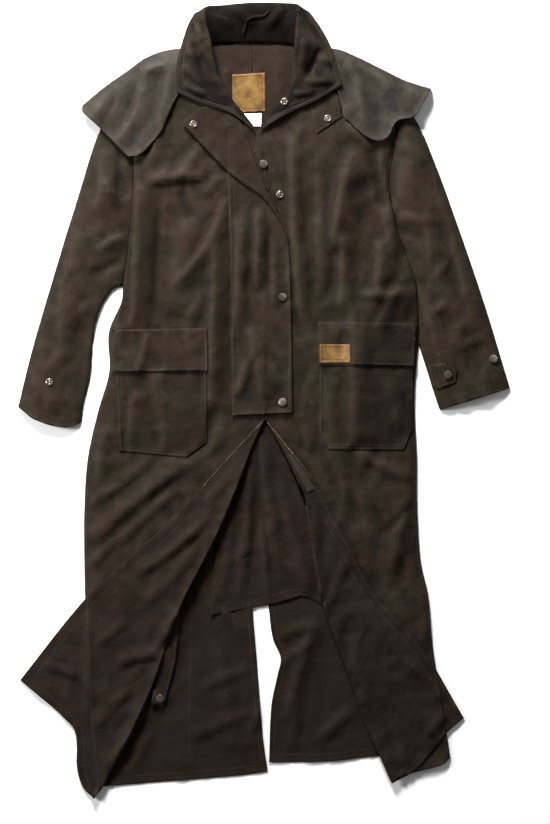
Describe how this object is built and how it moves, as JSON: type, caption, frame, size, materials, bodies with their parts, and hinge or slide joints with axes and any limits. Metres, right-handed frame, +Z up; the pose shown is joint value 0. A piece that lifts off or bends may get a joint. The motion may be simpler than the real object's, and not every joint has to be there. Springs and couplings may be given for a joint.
{
  "type": "duster coat",
  "caption": "Long riding duster coat with shoulder cape, collar, storm flap, flapped pockets and a vented skirt, laid flat with the skirt fronts folded back.",
  "frame": {"origin": "on the surface it lies on, under the middle of its outline", "axes": "+X towards the wearer's left, +Y up the coat towards the collar, +Z up from the surface it lies on"},
  "size_m": [0.8832, 1.4294, 0.0282],
  "materials": {
    "oilskin": "waxed cotton, dark brown, soft satin",
    "collar_cloth": "brushed cotton, dark brown, matte",
    "tape": "woven tape, dark brown, matte",
    "leather": "tan, matte",
    "white_tape": "woven label tape, white, matte",
    "snap_metal": "antiqued, worn"
  },
  "bodies": {
    "root": {"back_right": "oilskin", "back_left": "oilskin", "front_right": "oilskin", "front_left": "oilskin", "sleeve_right": "oilskin", "sleeve_left": "oilskin", "cape_back": "oilskin", "cape_front_right": "oilskin", "cape_front_left": "oilskin", "storm_flap": "oilskin", "fantail": "oilskin", "pocket_right": "oilskin", "pocket_left": "oilskin", "pocket_flap_right": "oilskin", "pocket_flap_left": "oilskin", "throat_tab": "oilskin", "cuff_tab_left": "oilskin", "leg_strap": "oilskin", "collar": "collar_cloth", "hanging_loop": "tape", "zip_upper": "tape", "zip_lower": "tape", "neck_label": "leather", "pocket_label": "leather", "care_label": "white_tape", "snap_neck": "snap_metal", "snap_throat_tab": "snap_metal", "snap_lapel": "snap_metal", "snap_front_inner": "snap_metal", "snap_front_top": "snap_metal", "snap_storm_upper": "snap_metal", "snap_storm_lower": "snap_metal", "snap_cuff_right": "snap_metal", "snap_cuff_left": "snap_metal", "snap_cuff_tab": "snap_metal", "snap_leg_strap": "snap_metal"}
  },
  "joints": []
}
